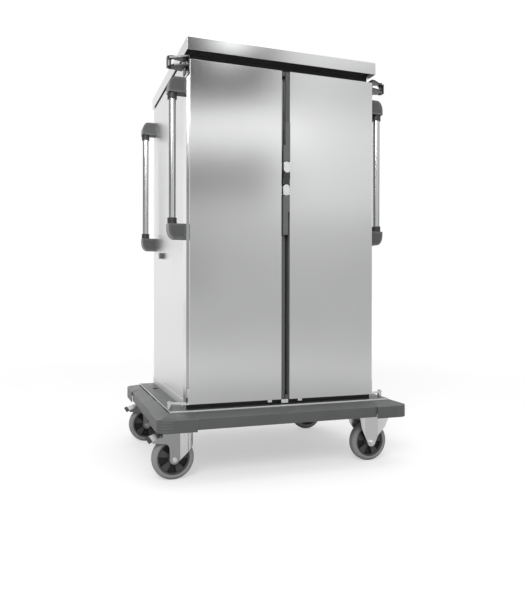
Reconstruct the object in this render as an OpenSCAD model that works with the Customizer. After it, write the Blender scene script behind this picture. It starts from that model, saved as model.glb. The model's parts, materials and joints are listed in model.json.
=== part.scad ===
// Enclosed meal tray cart: an insulated two-door cabinet on a wheeled deck
// with a bumper, for two columns of trays. Millimetres, +X right, +Y back,
// +Z up. The origin is on the floor under the middle of the deck.

/* [Cabinet] */
// Distance from a door's side edge to the cabinet's side plane
door_side = 6.1; // [4:0.1:8]
// Distance from the deck's front edge back to the cabinet body
front_setback = 31; // [28:0.5:36]
// Thickness of the outer steel sheet
sheet = 1.5; // [1:0.1:2]
// Thickness of a complete insulated wall
wall_t = 32; // [28:1:40]
// Thickness of the inner steel sheet
liner_t = 1.2; // [1:0.1:1.5]
// Depth of the front frame behind the doors
frame_d = 42; // [36:1:50]
// Height of the light skirt at the wall foot
skirt_h = 28; // [20:1:36]
// How far the skirt stands out from the wall
skirt_out = 2.5; // [1:0.25:4]
// Height of the dark gap between the side walls and the roof
roof_shadow = 8; // [4:1:14]
// Thickness of the insulated cabinet floor
floor_t = 40; // [36:1:50]
// Thickness of the wall between the two tray columns
partition_t = 24; // [18:1:30]
// Gap between panels that meet
panel_gap = 0.3; // [0.2:0.05:0.5]

/* [Roof] */
// How far the roof stands out past the side walls
roof_side = 5.4; // [4:0.1:10]
// How far the roof stands out in front of the cabinet body
roof_nose = 31; // [24:0.5:36]
// How far the roof stands out behind the cabinet
roof_tail = 14.3; // [6:0.1:20]
// Thickness of the roof cover
roof_t = 49.5; // [40:0.5:60]
// Thickness of the roof's sheet
roof_sheet = 2; // [1:0.25:3]
// Radius of the roof's upper edges
roof_edge_r = 4; // [3.5:0.25:10]
// Height of the recessed plinth between walls and roof
plinth_h = 31.4; // [28:0.2:36]
// Distance from the body front back to the plinth's front face
plinth_setback = 17; // [10:1:30]

/* [Doors] */
// Gap between the door panels, filled by the two edge profiles
door_gap = 33.4; // [30:0.2:36]
// Width of a door panel
door_w = 368.7; // [330:0.1:420]
// Height of the doors' lower edge above the deck
door_lift = 19.4; // [17:0.1:24]
// Height of a door
door_h = 1267.6; // [1100:0.2:1420]
// Thickness of a door
door_t = 25.4; // [22:0.2:30]
// Gap between the closed door and the front frame
door_back_gap = 0.3; // [0.3:0.1:2]
// Distance from the middle plane to the wide part of an edge profile
slot_side = 1.5; // [1:0.5:4]
// Distance from the door front back to the edge profile's face
edge_recess = 5.4; // [5:0.1:8]
// Width left of an edge profile in the half of the other door's latch
edge_cut_w = 3.3; // [2:0.1:3.5]
// Height of the full end of an edge profile beyond that cut
edge_end_h = 16; // [10:1:30]
// Width of the door seal
seal_w = 12; // [8:1:16]
// Distance from the door's edge to the seal
seal_inset = 12; // [10:1:20]

/* [Hinges] */
// Distance from the side wall out to the hinge axis
hinge_out = 59.5; // [58:0.5:60.5]
// Distance from the body front back to the hinge axis
hinge_back = 15; // [13:0.5:17]
// Radius of the hinge pin
hinge_pin_r = 5; // [4:0.25:6]
// Radial clearance between pin and hinge eye
hinge_clear = 0.05; // [0.02:0.01:0.1]
// Radius of the eye at the end of a hinge leaf
eye_r = 9.5; // [9:0.25:10.5]
// Width of a hinge leaf where it meets the door
leaf_w = 22.5; // [18:0.5:24]
// Thickness of the flanges on the door's side edge
flange_t = 3; // [2:0.25:3.5]
// Thickness of the bottom arm
arm_t = 5; // [4:0.5:6]
// Height of the bottom arm's upturned flange
arm_flange_h = 58; // [40:1:80]
// Distance from the door's top down to the yoke flange's lower edge
yoke_drop = 50; // [44:1:53]
// Radius of the yoke's lower leaf where it passes the cabinet's corner
yoke_bulge_r = 52; // [30:1:54]
// Distance from the door's top down to the yoke's lower leaf
yoke_leaf_drop = 25; // [18:1:30]
// Height of the yoke's top above the door's top
yoke_rise = 14; // [8:1:14]
// Thickness of the yoke's leaves
yoke_leaf_t = 6; // [4:0.5:9]
// Thickness of the fixed bracket above the yoke
bracket_t = 4; // [3:0.5:6]
// Distance from the wall's top down to the bracket flange's lower edge
bracket_drop = 40; // [20:1:45]

/* [Latches] */
// Width of a latch body
latch_w = 26; // [20:0.5:26]
// Offset of a latch towards the door that carries it
latch_shift = 1; // [0:0.1:1]
// Height of the plane where the two latch bases meet
latch_mid_z = 1131; // [1100:1:1160]
// Half the gap between the two latch bases
latch_gap = 0.3; // [0.2:0.1:1]
// Height of the dark nose of a latch base
latch_nose_h = 21.7; // [18:0.1:30]
// Distance that a latch stands out from the door front
latch_out = 9.6; // [8:0.1:9.8]
// Length of the bright hub block above its pivot
latch_hub_len = 28; // [20:1:36]
// Length of the dark grip beyond the hub
latch_grip_len = 150; // [120:1:170]
// Length of the grip's wide root
latch_root_len = 62; // [40:1:80]
// Width of the dark grip beyond its root
latch_grip_w = 19; // [16:0.5:22]
// Gap between hub and grip shoulder
latch_grip_gap = 3; // [2:0.5:5]
// Length of the hub's tongue inside the grip
latch_tongue = 20; // [10:1:30]
// Radius of the latch spindle
spindle_r = 4; // [3:0.25:5]
// Radial clearance round the latch spindle
spindle_clear = 0.05; // [0.02:0.01:0.1]

/* [Handles] */
// Distance from the side wall out to a handle tube's axis
handle_out = 48.5; // [46.5:0.5:50]
// Distance from the body front back to the front handle tubes
handle_front = 25; // [21:0.5:25]
// Distance from the cabinet's back forward to the rear handle tubes
handle_back = 37; // [24:1:48]
// Outer radius of a handle tube
tube_r = 14; // [12:0.5:15]
// Wall of a handle tube
tube_wall = 2; // [1.5:0.5:3]
// Distance from the walls' top edge down to the upper elbows
handle_drop = 57; // [57:1:80]
// Bottom of the lower elbow above the floor
handle_low = 890; // [880:1:920]
// Thickness of an elbow's arm
elbow_arm_t = 57; // [50:1:62]
// Width of an elbow
elbow_w = 40; // [36:0.5:40]
// Length of the elbow's round socket below the arm
socket_len = 22; // [16:1:40]
// Radius of the elbow's round socket
socket_r = 17.8; // [17:0.1:20]
// Depth of the tube inside an elbow
tube_depth = 50; // [30:1:54]
// Width of the curved cut over an elbow's outer corner
elbow_cut_w = 26; // [18:1:30]
// Height of the curved cut over an elbow's outer corner
elbow_cut_h = 42; // [30:1:44]
// Radius of a handle screw
screw_r = 3; // [2.5:0.25:3.5]
// Height between an elbow's two screws
screw_pitch = 30; // [24:1:34]
// Length of a handle screw in the elbow
screw_len = 22; // [16:1:24]

/* [Tray racks] */
// Height between tray levels, as many as fit
level_pitch = 115; // [105:1:120]
// Height of the lowest tray runner above the cabinet floor
first_level = 50; // [30:1:60]
// Width of a tray runner's ledge
runner_w = 16; // [12:1:20]
// Thickness of a tray runner's sheet
runner_t = 2; // [1.5:0.5:3]
// Height of a tray runner's upright web
runner_web = 22; // [16:1:30]
// Width of a rack upright
upright_w = 20; // [16:1:25]
// Thickness of a rack upright
upright_t = 3; // [2:0.5:4]

/* [Deck and bumper] */
// Distance from the side wall out to the deck's bright edge
deck_side = 70.5; // [69.5:0.5:72]
// Half depth of the deck from the middle to its bright edge
deck_y = 308; // [308:0.5:312]
// Thickness of the deck plate
deck_t = 4; // [3:0.5:5]
// Height of the bright edge strip round the deck
trim_h = 14; // [10:1:16]
// Thickness of the bright edge strip
trim_t = 2.5; // [2:0.25:4]
// Width of the bumper rails at the cart's ends
rail_w_x = 49.3; // [46:0.1:52]
// Width of the bumper rails along the cart's sides
rail_w_y = 49.4; // [46:0.1:54]
// Depth of the bumper's lower edge below the deck
bumper_h = 60.4; // [57:0.1:62]
// Depth of the bumper's outer upper edge below the deck
bumper_edge_drop = 20; // [16:0.5:26]
// Depth of the bumper's inner upper edge below the deck
bumper_inner_drop = 6; // [4:0.5:10]
// Gap between bumper and the bright edge strip
bumper_gap = 3; // [2:0.5:5]
// Length of a bumper corner piece along each side
corner_len_x = 140; // [120:1:150]
// Length of a bumper corner piece along the cart's depth
corner_len_y = 150; // [120:1:160]
// How far a corner piece stands proud of the rails
corner_proud = 4.7; // [3:0.1:6]
// How far a corner piece hangs below the rails
corner_drop = 5.5; // [3:0.1:7]
// Radius of a bumper corner in plan
corner_r = 32; // [24:1:40]
// Number of ridges round a bumper corner
ridges = 4; // [2:1:5]
// How far a ridge stands out
ridge_proud = 0.8; // [0.4:0.1:1.5]
// Length of the ridges along each side of a corner
ridge_reach = 48; // [36:1:80]
// Wall of a bumper rail
rail_wall = 3; // [2:0.5:4]
// Width of a bar that carries the bumper
outrigger_w = 30; // [20:1:40]
// Height of a bar that carries the bumper
outrigger_h = 16; // [10:1:20]
// Distance of the front and rear bars from the middle
rail_bar_x = 200; // [100:1:330]
// Distance of the side bars from the middle
rail_bar_y = 120; // [60:1:180]
// Height of the frame's underside above the wheels
frame_lift = 40; // [39:0.5:46]
// Height of the chassis frame
frame_h = 56; // [52:1:60]
// Width of a chassis tube
chassis_tube = 50; // [40:1:60]
// Wall of a chassis tube
chassis_wall = 3; // [2:0.5:4]

/* [Castors] */
// Radius of a wheel
wheel_r = 80; // [76:0.5:90]
// Width of a tyre
tyre_w = 36; // [32:1:36]
// Depth of the tyre's rubber
tyre_depth = 18; // [14:1:22]
// Distance from the deck's end in to the castor plates' middle
castor_in_x = 67.3; // [66:0.1:76]
// Distance from the deck's side in to the castor plates' middle
castor_in_y = 47.5; // [47:0.5:58]
// Trail of the swivel castors
trail = 44.2; // [36:0.2:46]
// Length of a castor's top plate
plate_l = 140; // [128:1:142]
// Width of a castor's top plate
plate_w = 110; // [102:1:112]
// Thickness of a castor's top plate
plate_t = 4; // [3:0.5:5]
// Distance between castor bolts along X
bolt_x = 105; // [100:1:116]
// Distance between castor bolts along Y
bolt_y = 80; // [76:1:86]
// Radius of a castor bolt
bolt_r = 5; // [4:0.5:5.5]
// Radial gap between the tyre's side and the fork
fork_gap = 7.5; // [7:0.5:8]
// Thickness of a fork's sheet
fork_t = 3.5; // [3:0.5:5]
// Radius of a wheel axle
axle_r = 6; // [5:0.5:7]
// Radial clearance of a wheel on its axle
axle_clear = 0.05; // [0.02:0.01:0.1]
// Radius of the swivel head
head_r = 37; // [34:1:40]
// Height of the swivel head's ball race under the castor plate
race_h = 8; // [6:0.5:9]
// Distance from the castor plate down to the swivel fork's crown
crown_drop = 18; // [16:0.5:20]
// How far an axle stands out past its fork
axle_end = 9; // [7:0.5:12]
// Height of an axle nut
nut_h = 6; // [4:0.5:7]
// Radius of an axle nut over its corners
nut_r = 10; // [8:0.5:12]
// Radius of the kingpin
kingpin_r = 8; // [6:0.5:10]
// Radius of a swivel fork's round nose
nose_r = 24.5; // [23.5:0.5:26]
// How far the nose's front lies inside the wheel's front
nose_inset = 3; // [1:0.1:4]
// Distance from the wheel axle forward to the side plates' crease
fork_crease = 22; // [16:1:30]
// How far the tip of the fork's tail lies behind the wheel
tail_reach = 1.8; // [0:0.1:2.5]
// Radius of the boss round the axle
boss_r = 18; // [15:0.5:20]
// Width of a fixed fork's flat middle panel
panel_w = 60; // [50:1:64]
// Width of a fixed fork at its top
wing_w = 136; // [120:1:138]
// Angle by which a fixed fork's wings turn outwards
wing_turn = 28; // [10:1:30]
// Distance from the wheel axle back to the pedal's pin
pin_back = 53.8; // [50:0.1:56]
// Height of the pedal's pin above the wheel axle
pin_rise = 76; // [74:0.5:78]
// Radius of the pedal's pin
pin_r = 3; // [2:0.25:4]
// Height of the pedal plate's underside above its pin
pedal_lift = 7; // [6:0.5:9]
// Slope of the pedal plate
pedal_slope = 22; // [16:1:24]
// Thickness of the pedal plate
pedal_t = 3; // [2:0.5:4]
// Reach of a brake pedal behind the wheel
pedal_reach = 16.6; // [10:0.1:16.6]
// Length of the thick dark toe of a pedal
toe_l = 12; // [8:0.5:20]
// Width of a brake pedal
pedal_w = 72; // [60:1:80]
// Number of spokes of a rim
spokes = 5; // [3:1:7]

/* [Small parts] */
// Height of the door catches above the floor
catch_z = 843; // [700:1:880]
// Height of a door catch
catch_h = 24.5; // [18:0.5:30]
// Distance from the body front back to a door catch
catch_back = 374; // [300:1:396]
// Width of a door catch along the wall
catch_w = 23; // [16:1:30]
// Gap between the catch and the opened door
catch_gap = 0.6; // [0.3:0.1:1]
// Distance from the middle to a sill block's inner side
sill_block_x = 55; // [40:1:120]
// Length of a sill block
sill_block_l = 18; // [12:1:30]

/* [Hidden] */

steel = [0.78, 0.79, 0.80];
bright = [0.88, 0.89, 0.90];
dark_grey = [0.33, 0.34, 0.36];
black = [0.1, 0.1, 0.11];
rubber_grey = [0.48, 0.48, 0.49];
foam = [0.85, 0.80, 0.62];

half_w = door_gap / 2 + door_w + door_side;
deck_x = half_w + deck_side;
frame_low = 2 * wheel_r + frame_lift;
frame_top = frame_low + frame_h;
deck_z = frame_top + deck_t;
body_front = -deck_y + front_setback;
body_back = deck_y;
body_foot = deck_z;
door_z = deck_z + door_lift;
door_top = door_z + door_h;
wall_top = door_top;
inner_x = half_w - wall_t;
inner_back = body_back - wall_t;
core_t = wall_t - sheet - liner_t;
floor_top = body_foot + floor_t;
frame_back = body_front + frame_d;
ceiling_z = wall_top - wall_t;
roof_z = wall_top + plinth_h;
side_top = roof_z - roof_shadow;
roof_half = half_w + roof_side;
roof_front = body_front - roof_nose;
roof_back = body_back + roof_tail;
levels = floor((ceiling_z - floor_top - first_level - runner_web)
    / level_pitch) + 1;
hinge_x = half_w + hinge_out;
hinge_y = body_front + hinge_back;
arm_z = door_z;
yoke_z = door_top - yoke_drop;
yoke_leaf_z = door_top - yoke_leaf_drop;
yoke_top = door_top + yoke_rise;
handle_x = half_w + handle_out;
handle_front_y = body_front + handle_front;
handle_back_y = body_back - handle_back;
handle_top = wall_top - handle_drop;
bumper_x = deck_x + rail_w_x;
bumper_y = deck_y + rail_w_y;
bumper_low = deck_z - bumper_h;
bumper_edge = deck_z - bumper_edge_drop;
bumper_inner = deck_z - bumper_inner_drop;
castor_x = deck_x - castor_in_x;
castor_y = deck_y - castor_in_y;
catch_y = body_front + catch_back;
door_back = body_front - door_back_gap;
door_front = door_back - door_t;
door_in = door_gap / 2;
door_out = door_in + door_w;
edge_front = door_front + edge_recess;
edge_back = door_back - 2;
wheel_gap = tyre_w / 2 + fork_gap;
swivel_x = -castor_x - trail;
head_z = frame_low - plate_t;
fork_top = head_z - crown_drop;
frame_end = deck_x - trim_t - 2 * panel_gap;
nose_reach = wheel_r - trail - nose_inset;
fork_tail = wheel_r + trail + tail_reach;
pin_x = trail + pin_back;
pin_z = wheel_r + pin_rise;
latch_face = door_front - latch_out;
latch_back = door_front - 0.5;
latch_pivot = latch_nose_h + latch_gap + latch_w / 2 + 0.6;
rim_r = wheel_r - tyre_depth;

// Box given by its lowest and highest corner
module span(lo, hi) {
    translate(lo)
        cube([hi[0] - lo[0], hi[1] - lo[1], hi[2] - lo[2]]);
}

// Frame in the XZ plane: outer box less an inner box, with a thickness in Y
module ring_xz(x0, x1, z0, z1, y0, y1, w) {
    difference() {
        span([x0, y0, z0], [x1, y1, z1]);
        span([x0 + w, y0 - 1, z0 + w], [x1 - w, y1 + 1, z1 - w]);
    }
}

// Copy of the children on the left and on the right
module both_sides() {
    children();
    mirror([1, 0, 0])
        children();
}

// Copy of the children in front and behind
module front_and_back() {
    children();
    mirror([0, 1, 0])
        children();
}

/* ---- deck, frame and bumper ---- */

module chassis_tube_x(y) {
    difference() {
        span([-frame_end, y - chassis_tube / 2, frame_low],
            [frame_end, y + chassis_tube / 2, frame_top]);
        span([-frame_end - 1, y - chassis_tube / 2 + chassis_wall,
            frame_low + chassis_wall], [frame_end + 1,
            y + chassis_tube / 2 - chassis_wall, frame_top - chassis_wall]);
    }
}

module chassis_tube_y(x) {
    inner = castor_y - chassis_tube / 2;
    difference() {
        span([x - chassis_tube / 2, -inner, frame_low],
            [x + chassis_tube / 2, inner, frame_top]);
        span([x - chassis_tube / 2 + chassis_wall, -inner - 1,
            frame_low + chassis_wall], [x + chassis_tube / 2 - chassis_wall,
            inner + 1, frame_top - chassis_wall]);
    }
}

module chassis_frame() {
    color(dark_grey)
        difference() {
            union() {
                chassis_tube_x(castor_y);
                chassis_tube_x(-castor_y);
                for (x = [-castor_x, 0, castor_x])
                    chassis_tube_y(x);
                for (sx = [-1, 1], sy = [-1, 1])
                    translate([sx * castor_x, sy * castor_y, frame_low])
                        translate([-plate_l / 2, -plate_w / 2, 0])
                            cube([plate_l, plate_w, chassis_wall]);
                bumper_outriggers();
            }
            castor_bolt_holes(frame_low - 1, frame_low + chassis_wall + 1);
        }
}

// Short bars from the frame out to the inside of the bumper rails
module bumper_outriggers() {
    frame_y = castor_y + chassis_tube / 2;
    half = outrigger_w / 2;
    low = frame_low + 14;
    for (x = [-rail_bar_x, rail_bar_x], s = [-1, 1])
        flip_y(s)
            span([x - half, frame_y, low],
                [x + half, bumper_y - rail_wall, low + outrigger_h]);
    for (y = [-rail_bar_y, rail_bar_y], s = [-1, 1])
        mirror([s < 0 ? 1 : 0, 0, 0])
            span([castor_x + chassis_tube / 2, y - half, low],
                [bumper_x - rail_wall, y + half, low + outrigger_h]);
}

// Children as drawn, or mirrored to the other side of the XZ plane
module flip_y(s) {
    mirror([0, s < 0 ? 1 : 0, 0])
        children();
}

// Holes through the castor plates and the frame pads
module castor_bolt_holes(z0, z1) {
    for (sx = [-1, 1], sy = [-1, 1], bx = [-1, 1], by = [-1, 1])
        translate([sx * castor_x + bx * bolt_x / 2,
            sy * castor_y + by * bolt_y / 2, z0])
            cylinder(h = z1 - z0, r = bolt_r + 0.05, $fn = 32);
}

module deck_plate() {
    color(dark_grey)
        span([-deck_x + trim_t, -deck_y + trim_t, frame_top],
            [deck_x - trim_t, deck_y - trim_t, deck_z]);
}

module deck_edge_trim() {
    color(bright)
        difference() {
            span([-deck_x, -deck_y, deck_z - trim_h], [deck_x, deck_y, deck_z]);
            span([-deck_x + trim_t, -deck_y + trim_t, deck_z - trim_h - 1],
                [deck_x - trim_t, deck_y - trim_t, deck_z + 1]);
        }
}

// Section of the bumper: x runs outwards from its inner edge, y is height
module bumper_section(reach) {
    lip = rail_wall;
    polygon([[0, bumper_inner - lip], [reach - lip, bumper_edge - lip],
        [reach - lip, bumper_low], [reach, bumper_low],
        [reach, bumper_edge], [0, bumper_inner]]);
}

// Straight rail of length len, centred, its outside towards -Y
module bumper_rail(len, inner, outer) {
    translate([-len / 2, 0, 0])
        rotate([90, 0, 90])
            mirror([1, 0, 0])
                translate([inner, 0, 0])
                    linear_extrude(len)
                        bumper_section(outer - inner);
}

module bumper_rails() {
    in_y = deck_y + bumper_gap;
    in_x = deck_x + bumper_gap;
    color(dark_grey) {
        front_and_back()
            bumper_rail(2 * (bumper_x - corner_len_x) - panel_gap, in_y, bumper_y);
        for (a = [90, -90])
            rotate([0, 0, a])
                bumper_rail(2 * (bumper_y - corner_len_y) - panel_gap,
                    in_x, bumper_x);
    }
}

// Plan outline of the bumper grown by d, with round corners
module bumper_plan(d) {
    r = corner_r + d;
    x = bumper_x + d - r;
    y = bumper_y + d - r;
    union() {
        square([2 * x + 2 * r, 2 * y], center = true);
        square([2 * x, 2 * y + 2 * r], center = true);
        for (sx = [-1, 1], sy = [-1, 1])
            translate([sx * x, sy * y])
                circle(r = r, $fn = 64);
    }
}

// Whole bumper body with sloping shoulders, grown by d and lowered by drop
module bumper_body(d, drop) {
    in_x = deck_x + bumper_gap;
    in_y = deck_y + bumper_gap;
    low = bumper_low - corner_drop - 1;
    high = bumper_inner - drop;
    edge = bumper_edge - drop;
    intersection() {
        rotate([90, 0, 0])
            linear_extrude(4 * bumper_y, center = true)
                polygon([[-bumper_x - d, low], [bumper_x + d, low],
                    [bumper_x + d, edge], [in_x, high], [-in_x, high],
                    [-bumper_x - d, edge]]);
        rotate([90, 0, 90])
            linear_extrude(4 * bumper_x, center = true)
                polygon([[-bumper_y - d, low], [bumper_y + d, low],
                    [bumper_y + d, edge], [in_y, high], [-in_y, high],
                    [-bumper_y - d, edge]]);
        translate([0, 0, low])
            linear_extrude(high - low)
                bumper_plan(d);
    }
}

// Ridges follow the corners only
module ridge_plan() {
    x = bumper_x - ridge_reach;
    y = bumper_y - ridge_reach;
    difference() {
        bumper_plan(corner_proud + ridge_proud);
        square([2 * x, 3 * bumper_y], center = true);
        square([3 * bumper_x, 2 * y], center = true);
    }
}

// Hollow shell of all four corner pieces, with ridges round the outside
module corner_shell() {
    in_y = deck_y + bumper_gap;
    in_x = deck_x + bumper_gap;
    low = bumper_low - corner_drop;
    ridge_pitch = (bumper_edge - low) / (ridges + 0.5);
    difference() {
        union() {
            bumper_body(corner_proud, 0);
            for (i = [1:ridges])
                translate([0, 0, low + i * ridge_pitch - 4])
                    linear_extrude(3)
                        ridge_plan();
        }
        bumper_body(corner_proud - rail_wall, rail_wall);
        translate([0, 0, low - 5])
            linear_extrude(5)
                square([3 * bumper_x, 3 * bumper_y], center = true);
        span([-in_x, -in_y, low - 1], [in_x, in_y, bumper_inner + 1]);
    }
}

module bumper_corners() {
    color(dark_grey)
        both_sides()
            front_and_back()
                intersection() {
                    corner_shell();
                    difference() {
                        span([bumper_x - corner_len_x,
                            bumper_y - corner_len_y, 0],
                            [2 * bumper_x, 2 * bumper_y, deck_z]);
                        span([0, 0, -1], [deck_x - deck_t,
                            deck_y - deck_t, deck_z + 1]);
                    }
                }
}

/* ---- cabinet ---- */

module cabinet_floor() {
    color(steel)
        span([-inner_x, frame_back, body_foot], [inner_x, inner_back, floor_top]);
}

// Outer sheet of one side wall, with its foot skirt
module side_sheet() {
    difference() {
        union() {
            span([half_w - sheet, frame_back, body_foot],
                [half_w, body_back, side_top]);
            span([half_w - sheet, frame_back, body_foot],
                [half_w + skirt_out, body_back, body_foot + skirt_h]);
        }
        handle_screw_holes(screw_r + 0.05, half_w - sheet - 1, half_w + 1);
    }
}

module side_wall_left() {
    color(steel)
        mirror([1, 0, 0])
            side_sheet();
}

module side_wall_right() {
    color(steel)
        side_sheet();
}

module back_wall() {
    color(steel)
        span([-half_w + sheet, body_back - sheet, body_foot],
            [half_w - sheet, body_back, side_top]);
}

// Insulation boards in the sides, the back and the roof
module wall_insulation() {
    z0 = body_foot;
    rim = wall_t + 10 + panel_gap;
    color(foam) {
        both_sides()
            difference() {
                span([half_w - sheet - core_t, frame_back + liner_t, z0],
                    [half_w - sheet, inner_back, wall_top - liner_t]);
                handle_screw_holes(screw_r * 3, inner_x, half_w);
            }
        span([-half_w + sheet, inner_back + liner_t, z0],
            [half_w - sheet, body_back - sheet, wall_top - liner_t]);
        span([-half_w + rim, body_front + plinth_setback + rim, wall_top],
            [half_w - rim, body_back - rim, roof_z + roof_t - roof_sheet]);
    }
}

// Inner sheets of both sides and the back, welded at the corners
module inner_liner() {
    color(bright) {
        both_sides()
            span([inner_x, frame_back, floor_top],
                [inner_x + liner_t, inner_back - panel_gap, ceiling_z]);
        span([-inner_x - liner_t, inner_back, floor_top],
            [inner_x + liner_t, inner_back + liner_t, ceiling_z]);
    }
}

// Header, sill and middle post of the door openings
module frame_bars() {
    span([-half_w, body_front, body_foot], [half_w, frame_back, floor_top]);
    span([-half_w, body_front, ceiling_z], [half_w, frame_back, wall_top]);
    span([-partition_t / 2, body_front, floor_top + panel_gap],
        [partition_t / 2, frame_back, ceiling_z - panel_gap]);
}

// Folded post at one front corner, open towards the back
module corner_post() {
    difference() {
        span([inner_x, body_front, floor_top + panel_gap],
            [half_w, frame_back, ceiling_z - panel_gap]);
        span([inner_x + sheet, body_front + sheet, floor_top - 1],
            [half_w - sheet, frame_back + 1, ceiling_z + 1]);
        handle_screw_holes(screw_r + 0.05, half_w - sheet - 1, half_w + 1);
    }
}

module front_frame() {
    color(steel) {
        frame_bars();
        both_sides()
            corner_post();
    }
}

module middle_partition() {
    color(bright)
        span([-partition_t / 2, frame_back, floor_top],
            [partition_t / 2, inner_back, ceiling_z]);
}

module ceiling_panel() {
    color(bright)
        span([-inner_x - liner_t, frame_back, ceiling_z],
            [inner_x + liner_t, inner_back + liner_t, wall_top]);
}

module roof_plinth() {
    edge = 3;
    color(black)
        difference() {
            span([-half_w + edge, body_front + plinth_setback, wall_top],
                [half_w - edge, body_back - edge, roof_z]);
            span([-half_w + wall_t, body_front + plinth_setback + wall_t,
                wall_top - 1], [half_w - wall_t, body_back - wall_t, roof_z + 1]);
        }
}

// Rectangle from x0 to x1 and z0 to z1 with round upper corners
module round_top(x0, x1, z0, z1, r) {
    translate([x0, z0])
        square([x1 - x0, z1 - z0 - r]);
    translate([x0 + r, z0])
        square([x1 - x0 - 2 * r, z1 - z0]);
    for (x = [x0 + r, x1 - r])
        translate([x, z1 - r])
            circle(r = r, $fn = 48);
}

// Roof block taken in by d on every side, with round upper edges
module roof_block(d, r) {
    intersection() {
        translate([0, roof_back + 1, 0])
            rotate([90, 0, 0])
                linear_extrude(roof_back - roof_front + 2)
                    round_top(-roof_half + d, roof_half - d, roof_z + d,
                        roof_z + roof_t - d, r);
        translate([-roof_half - 1, 0, 0])
            rotate([90, 0, 90])
                linear_extrude(2 * roof_half + 2)
                    round_top(roof_front + d, roof_back - d, roof_z + d,
                        roof_z + roof_t - d, r);
    }
}

// Hollow tray-shaped cover, its underside open over the plinth's frame
module roof_cover() {
    rim = wall_t + 10;
    color(bright)
        difference() {
            roof_block(0, roof_edge_r);
            roof_block(roof_sheet, roof_edge_r - roof_sheet);
            span([-half_w + rim, body_front + plinth_setback + rim, roof_z - 1],
                [half_w - rim, body_back - rim, roof_z + roof_sheet + 1]);
        }
}

/* ---- tray racks ---- */

// Welded ladder: uprights and angle runners, its back at x = 0, ledges to +X
module rack_ladder() {
    y0 = frame_back + 8;
    y1 = inner_back - 8;
    top = floor_top + first_level + (levels - 1) * level_pitch + runner_web;
    for (y = [y0 + 20, (y0 + y1) / 2 - upright_w / 2, y1 - 20 - upright_w])
        span([0, y, floor_top], [upright_t, y + upright_w, top]);
    for (i = [0:levels - 1])
        translate([0, 0, floor_top + first_level + i * level_pitch]) {
            span([upright_t - 0.01, y0, 0],
                [upright_t + runner_t, y1, runner_web]);
            span([upright_t, y0, 0],
                [upright_t + runner_w, y1, runner_t]);
        }
}

// Ladders on both sides of the right-hand compartment
module rack_pair() {
    translate([partition_t / 2, 0, 0])
        rack_ladder();
    translate([inner_x, 0, 0])
        mirror([1, 0, 0])
            rack_ladder();
}

module tray_racks_left() {
    color(bright)
        mirror([1, 0, 0])
            rack_pair();
}

module tray_racks_right() {
    color(bright)
        rack_pair();
}

/* ---- handles ---- */

// Handle positions: side, depth
handle_places = [[1, handle_front_y], [1, handle_back_y],
    [-1, handle_front_y], [-1, handle_back_y]];

// Side view of an upper elbow: from the wall out past the tube
module elbow_profile() {
    out_x = handle_x + socket_r;
    low = handle_top - elbow_arm_t;
    polygon(concat([[out_x, low], [half_w, low], [half_w, handle_top]],
        [for (a = [90:-15:0])
            [out_x - elbow_cut_w * (1 - cos(a)),
            handle_top - elbow_cut_h * (1 - sin(a))]]));
}

// Upper elbow on the right-hand side, at depth 0
module elbow() {
    low = handle_top - elbow_arm_t;
    difference() {
        union() {
            translate([0, elbow_w / 2, 0])
                rotate([90, 0, 0])
                    linear_extrude(elbow_w)
                        elbow_profile();
            translate([handle_x, 0, low - socket_len])
                cylinder(h = socket_len + 1, r = socket_r, $fn = 64);
        }
        translate([handle_x, 0, low - socket_len - 1])
            cylinder(h = tube_depth + 1, r = tube_r + 0.05, $fn = 64);
        for (s = [-1, 1])
            translate([half_w - 1, 0, handle_top - elbow_arm_t / 2
                + s * screw_pitch / 2])
                rotate([0, 90, 0])
                    cylinder(h = screw_len + 1, r = screw_r + 0.05, $fn = 24);
    }
}

// Height plane that turns an upper elbow into a lower one
handle_mid_z = (handle_top + handle_low) / 2;

// Children at the four upper and four lower elbow places
module at_elbows() {
    for (p = handle_places, s = [-1, 1])
        translate([0, p[1], handle_mid_z])
            mirror([p[0] < 0 ? 1 : 0, 0, 0])
                mirror([0, 0, s < 0 ? 1 : 0])
                    translate([0, 0, -handle_mid_z])
                        children();
}

module handle_elbows() {
    color(dark_grey)
        at_elbows()
            elbow();
}

module handle_tubes() {
    low = handle_low + elbow_arm_t + socket_len - tube_depth;
    high = handle_top - elbow_arm_t - socket_len + tube_depth;
    color(steel)
        for (p = handle_places)
            translate([p[0] * handle_x, p[1], low])
                difference() {
                    cylinder(h = high - low, r = tube_r, $fn = 64);
                    translate([0, 0, -1])
                        cylinder(h = high - low + 2, r = tube_r - tube_wall,
                            $fn = 64);
                }
}

// Holes of radius r at every handle screw, from x0 outwards to x1
module handle_screw_holes(r, x0, x1) {
    at_elbows()
        for (s = [-1, 1])
            translate([x0, 0, handle_top - elbow_arm_t / 2
                + s * screw_pitch / 2])
                rotate([0, 90, 0])
                    cylinder(h = x1 - x0, r = r, $fn = 24);
}

module handle_screws() {
    head = 4;
    color(steel)
        at_elbows()
            for (s = [-1, 1])
                translate([half_w - sheet - head, 0, handle_top
                    - elbow_arm_t / 2 + s * screw_pitch / 2])
                    rotate([0, 90, 0]) {
                        cylinder(h = head, r = screw_r * 2, $fn = 24);
                        cylinder(h = head + sheet + screw_len - 1, r = screw_r,
                            $fn = 24);
                    }
}

/* ---- hinges ---- */

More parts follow.
